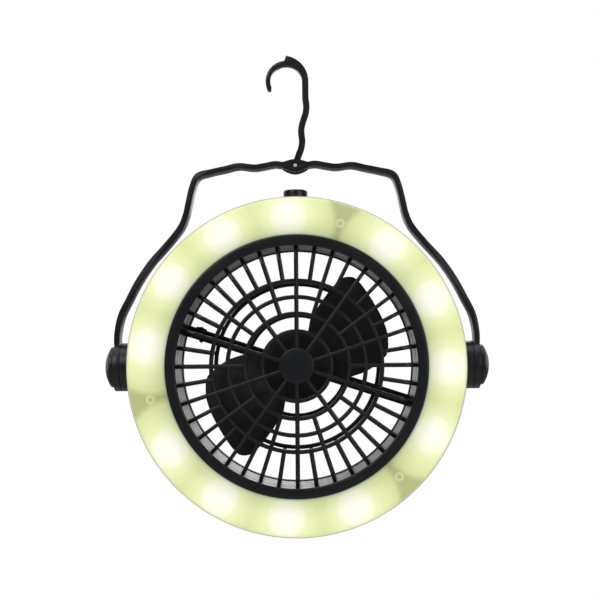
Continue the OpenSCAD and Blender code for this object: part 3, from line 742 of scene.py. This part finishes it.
blade = {
    "root": 18.2,
    # the tip's radius from the leading edge, 0, to the trailing edge, 1
    "tip": ((0, 56), (0.03, 57.6), (0.07, 58.2), (0.14, 57.6), (0.25, 56.2), (0.4, 54.8),
            (0.72, 53.4), (0.88, 51.6), (0.95, 50), (1, 46.6)),
    "middle": 16.5,  # depth of the blade's middle
    "rise": 10.0,
    "taper": 0.35,
    "camber": 1.0,
    "thick": 1.3,
    "rimShare": 0.08,  # of the thickness that is left at the very rim
    "edge": 0.9,  # width of the rounding along a blade's rim
    "span": 40.0,  # millimetres that u or v from 0 to 1 stands for at the rounding
    "grid": 40,
    # both edges' angles from the hub, 0, to the tip, 1
    "leadAngle": ((0, 71), (0.2, 73.5), (0.42, 70), (0.63, 67), (0.92, 63.4), (0.97, 62), (1, 60)),
    "trailAngle": ((0, -23), (0.25, -17), (0.5, -10.5), (0.75, -4.5), (1, 3)),
    "hub": 19.0,
    "hubFace": 10.0,
    "hubBack": 22.5,
    "hubWall": 1.8,
    "hubRound": 1.2,
    "fillet": 0.6,
    "ease": 0.3,
    "boss": 3.0,
    "bossBack": 20.0,
    "bossFillet": 0.5,
    "bore": 1.03,
    "boreChamfer": 0.2,
    "steps": 96,
}


def alongTable(table, t):
    # the value at t between a table's pairs
    for (t0, a0), (t1, a1) in zip(table, table[1:]):
        if t <= t1:
            return a0 + (a1 - a0) * (t - t0) / (t1 - t0)
    return table[-1][1]


def bladePoint(u, v, side):
    # u runs from the hub to the tip, v from the leading to the trailing edge, side is -1 or 1
    g = blade
    angle = radians(alongTable(g["leadAngle"], u) * (1 - v) + alongTable(g["trailAngle"], u) * v)
    radius = g["root"] * (1 - u) + alongTable(g["tip"], v) * u
    depth = g["middle"] + g["rise"] * (1 - g["taper"] * u) * (v - 0.5) - g["camber"] * sin(pi * v)
    near = min(1, min(v, 1 - v, 1 - u) * g["span"] / g["edge"])  # 0 at the rim, 1 past its rounding
    arc = (near * (2 - near)) ** 0.5
    half = g["thick"] / 2 * (g["rimShare"] + (1 - g["rimShare"]) * arc)
    return fanPoint(radius * cos(angle), depth + side * half, radius * sin(angle))


def makeImpeller():
    # cup-shaped hub with two broad cambered blades, their edges rounded
    bm = bmesh.new()
    g = blade
    for side in (-1, 1):
        bmesh.ops.create_grid(bm, x_segments=g["grid"], y_segments=g["grid"], size=0.5)
        for vert in takeNew(bm):
            # rows crowd towards the rim, where the rounding is
            u, v = ((1 - cos(pi * (t + 0.5))) / 2 for t in vert.co.xy)
            vert.co = bladePoint(u, v, side)
    bmesh.ops.bridge_loops(bm, edges=[e for e in bm.edges if e.is_boundary])
    addAround(bm, bm.verts[:] + bm.edges[:] + bm.faces[:], 2)
    inside, floor, ease = g["hub"] - g["hubWall"], g["hubFace"] + g["hubWall"], g["ease"]
    addTurned(bm, rounded([
        (0, g["hubFace"], 0), (g["hub"], g["hubFace"], g["hubRound"]),
        (g["hub"], g["hubBack"], ease),
        (inside, g["hubBack"], ease), (inside, floor, g["fillet"]),
        (g["boss"], floor, g["bossFillet"]), (g["boss"], g["bossBack"], ease),
        (g["bore"], g["bossBack"], g["boreChamfer"]),
        (g["bore"], floor, 0), (0, floor, 0)]), g["steps"])
    finishPiece("impeller_moulding", bm, bladeAbs, "rotor", "impeller")


pivotCap = {
    "radius": 11.25,
    "thick": 5.4,
    "dome": 3.5,  # height of the dome alone
    "domeSteps": 14,
    "shoulder": 0.6,
    "edge": 0.3,
    "stem": 2.9,
    "stemFillet": 0.1,
    "depth": 20.0,  # of the pivots behind the lens's front
    "steps": 96,
}


def makePivotCap(name, node, side):
    # domed cap with its stem, turned about the pivots; side is -1 on the left
    g = pivotCap
    inner, outer = sorted(abs(corner[0] - axisX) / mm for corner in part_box(node))
    ball = (g["radius"] ** 2 + g["dome"] ** 2) / (2 * g["dome"])
    outline = []
    for k in range(g["domeSteps"] + 1):
        lean = asin(g["radius"] / ball) * k / g["domeSteps"]
        corner = g["shoulder"] if k == g["domeSteps"] else 0
        outline.append((ball * sin(lean), outer - ball * (1 - cos(lean)), corner))
    seat = outer - g["thick"]
    outline += [(g["radius"], seat, g["edge"]), (g["stem"], seat, g["stemFillet"]),
                (g["stem"], inner, g["edge"]), (0, inner, 0)]
    bm = bmesh.new()
    addTurned(bm, [(r, side * d) for r, d in rounded(outline)], g["steps"], (0, g["depth"], 0), "X")
    finishPiece(name, bm, satinAbs, "body", node)


easedPieces = [
    # piece, node, body, eased edge in millimetres
    ("hook_moulding", "hook", "hook", 0.55),
    ("bail_moulding", "bail", "bail", 0.5),
    ("battery_door_moulding", "battery_door", "door", 0.25),
    ("button_moulding", "power_button", "button", 0.0),
    ("housing_moulding", "rear_housing", "body", 0.0),
    ("pin", "hook_pin", "bail", 0.2),
    ("switch_case", "switch_body", "body", 0.4),
    ("motor_case", "motor_can", "body", 0.0),
    ("motor_cover", "motor_end_cap", "body", 0.0),
    ("red_lead", "lead_red", "body", 0.0),
    ("black_lead", "lead_black", "body", 0.0),
    ("cells", "battery_cells", "body", 0.5),
]


def makeEasedPieces():
    for name, node, body, edge in easedPieces:
        finishPiece(name, copyOfNode(node, edge), finishes[node], body, node)


camera = {
    "placeMm": (7.4, -600.0, 7.6),  # right of, before and above the fan's axis at the lens's front
    "pixelFocal": 1111.0,
    "frame": 600.0,
    "sensor": 36,
    "clip": (0.01, 50),
    "pitchDeg": 2.68,
    "yawDeg": 0.5,  # to the left
    "rollDeg": -0.5,
}


def makeCamera():
    data = bpy.data.cameras.new("camera")
    data.sensor_width = camera["sensor"]
    data.lens = camera["pixelFocal"] / camera["frame"] * data.sensor_width
    data.clip_start, data.clip_end = camera["clip"]
    obj = bpy.data.objects.new("camera", data)
    scene.collection.objects.link(obj)
    turn = (Matrix.Rotation(radians(camera["yawDeg"]), 4, "Z")
            @ Matrix.Rotation(radians(90 + camera["pitchDeg"]), 4, "X")
            @ Matrix.Rotation(radians(camera["rollDeg"]), 4, "Z"))
    obj.matrix_world = Matrix.Translation(fanPoint(*camera["placeMm"])) @ turn
    scene.camera = obj
    print("camera set")


studio = {
    "floorDropMm": 300,  # below the lowest point of the hanging fan
    "floorHalf": 6,  # in metres
    "paper": "CCCCCC",
    "paperRough": 0.9,
    "worldStrength": 0.13,
    "backdropSheen": 0.7,  # how bright the white sheet behind the fan is in its reflections
    "backdropFrom": (0.1, 0.6),  # how far back a reflection looks when the sheet starts and is full
    "middleDeep": 20,  # the lamps point at this depth on the fan's axis
    "lamps": [
        # name, place from the fan's middle in metres, size in metres, watts
        ("key lamp", (-0.7, -1.1, 0.9), 0.9, 8),
        ("fill lamp", (0.9, -1.0, 0.3), 0.9, 4),
        ("top lamp", (0.0, -0.1, 1.2), 1.0, 5),
        ("back lamp", (0.3, 1.1, 0.6), 0.9, 5),
    ],
}


def makeFloor():
    bm = bmesh.new()
    bmesh.ops.create_grid(bm, x_segments=1, y_segments=1, size=studio["floorHalf"])
    bmesh.ops.translate(bm, verts=bm.verts, vec=(0, 0, cadBox[0][2] - studio["floorDropMm"] * mm))
    mesh = bpy.data.meshes.new("floor")
    bm.to_mesh(mesh)
    bm.free()
    floor = bpy.data.objects.new("floor", mesh)
    scene.collection.objects.link(floor)
    # matt card: white to the camera, a plain pale grey to everything that it lights
    mat, add, shader = newMaterial("pale studio paper")
    setInputs(shader, {"Base Color": hexLinear(studio["paper"]), "Roughness": studio["paperRough"]})
    sheet = add("MixShader", [add("LightPath").outputs["Is Camera Ray"], shader, add("Emission")])
    setInputs(mat.node_tree.nodes["Material Output"], {"Surface": sheet})
    mesh.materials.append(mat)


def makeWorld():
    # a dim even world that looks white to the camera, with a bright sheet behind the fan for gloss
    world = bpy.data.worlds.new("studio")
    world.use_nodes = True
    world.node_tree.nodes.clear()
    add = partial(addNode, world.node_tree)
    rays = add("LightPath")
    seen = add("Math", [rays.outputs["Is Camera Ray"], rays.outputs["Is Transmission Ray"]],
               operation="MAXIMUM")
    way = add("SeparateXYZ", [add("TexCoord").outputs["Generated"]])
    first, full = studio["backdropFrom"]
    behind = add("MapRange", {"Value": way.outputs["Y"], "From Min": first, "From Max": full,
                              "To Max": studio["backdropSheen"]})
    sheen = add("Math", [behind, rays.outputs["Is Glossy Ray"], studio["worldStrength"]],
                operation="MULTIPLY_ADD")
    soft = add("Background", {"Color": (1, 1, 1, 1), "Strength": sheen})
    white = add("Background", {"Color": (1, 1, 1, 1)})
    add("OutputWorld", {"Surface": add("MixShader", [seen, soft, white])})
    scene.world = world


def makeLamps():
    middle = fanPoint(0, studio["middleDeep"], 0)
    for name, place, size, watts in studio["lamps"]:
        data = bpy.data.lights.new(name, "AREA")
        data.size = size
        data.energy = watts
        lamp = bpy.data.objects.new(name, data)
        scene.collection.objects.link(lamp)
        lamp.location = middle + Vector(place)
        lamp.rotation_euler = (middle - lamp.location).to_track_quat("-Z", "Y").to_euler()


makeCamera()
makeFloor()
makeWorld()
makeLamps()
scene.view_settings.view_transform = "Standard"
print("studio set")
dressNodes()
makeFrontGrille()
makeRearGrille()
makeLens()
makeImpeller()
makePivotCap("left_pivot_cap", "pivot_cap_left", -1)
makePivotCap("right_pivot_cap", "pivot_cap_right", 1)
makeEasedPieces()
